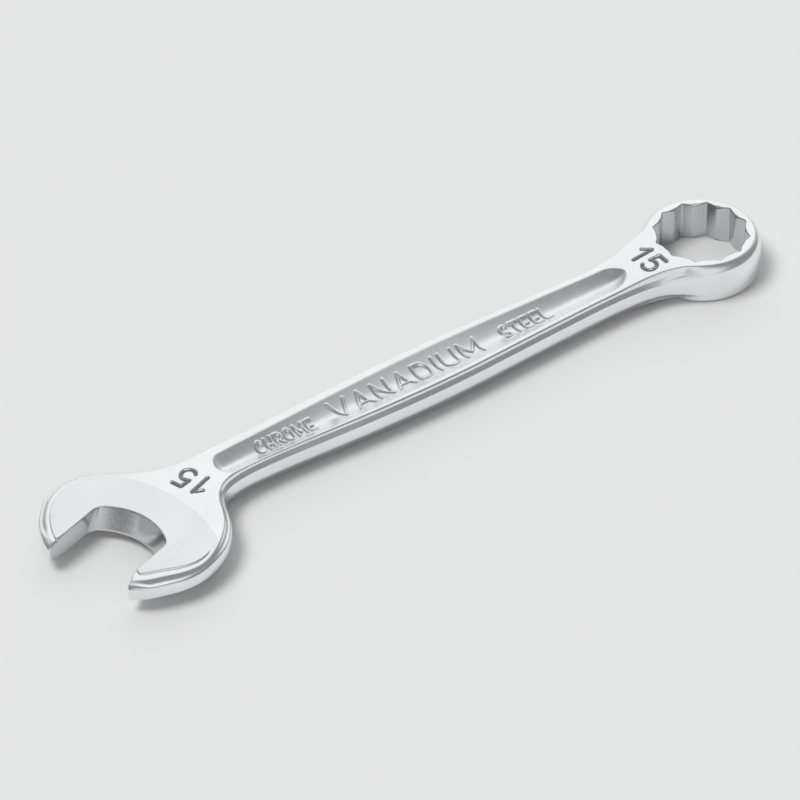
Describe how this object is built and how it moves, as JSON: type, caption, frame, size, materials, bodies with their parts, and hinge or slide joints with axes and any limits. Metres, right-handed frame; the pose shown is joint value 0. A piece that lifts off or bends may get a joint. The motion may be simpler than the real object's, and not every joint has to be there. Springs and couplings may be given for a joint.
{
  "type": "combination wrench",
  "caption": "Combination wrench with an angled open-end jaw, a shank with a long shallow channel on each face, and a ring end with a twelve-point socket.",
  "frame": {"origin": "centre of the ring socket, on the middle plane of the tool", "axes": "+X along the shank away from the open end, +Z along the socket axis, up when the wrench lies flat; the jaw opens towards -X and -Y"},
  "size_m": [0.1457, 0.0323, 0.0076],
  "materials": {
    "forging": "satin chrome plate over a drop forging"
  },
  "bodies": {
    "root": {"open_end_head": "forging", "shank": "forging", "ring_head": "forging"}
  },
  "joints": []
}
